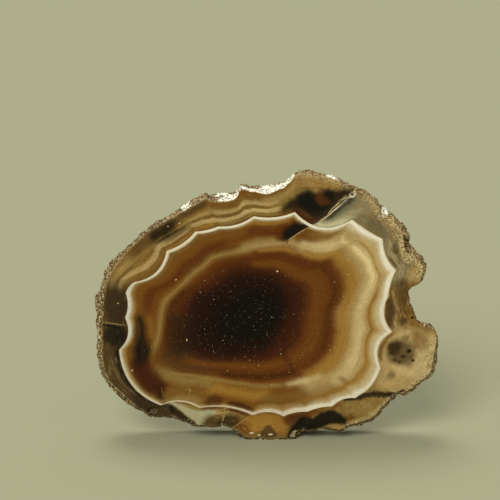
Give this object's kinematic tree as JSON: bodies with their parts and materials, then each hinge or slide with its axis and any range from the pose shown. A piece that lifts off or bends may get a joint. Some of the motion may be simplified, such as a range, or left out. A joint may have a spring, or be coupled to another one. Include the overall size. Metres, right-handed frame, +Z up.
{
  "type": "agate slice",
  "caption": "Upright slice of banded agate with a polished face, a sawn back and a rough crystalline rim, standing on a small flat spot.",
  "frame": {"origin": "under the middle of the slice, at the level of the flat spot that it stands on", "axes": "+X along the slice's length, to the right as its polished face is seen; +Y through its thickness, from the polished face to the sawn back; +Z up"},
  "size_m": [0.0696, 0.0074, 0.0554],
  "materials": {
    "agate": "polished banded face, rough crystalline rim, matt sawn back"
  },
  "bodies": {
    "root": {"agate_slice": "agate"}
  },
  "joints": []
}
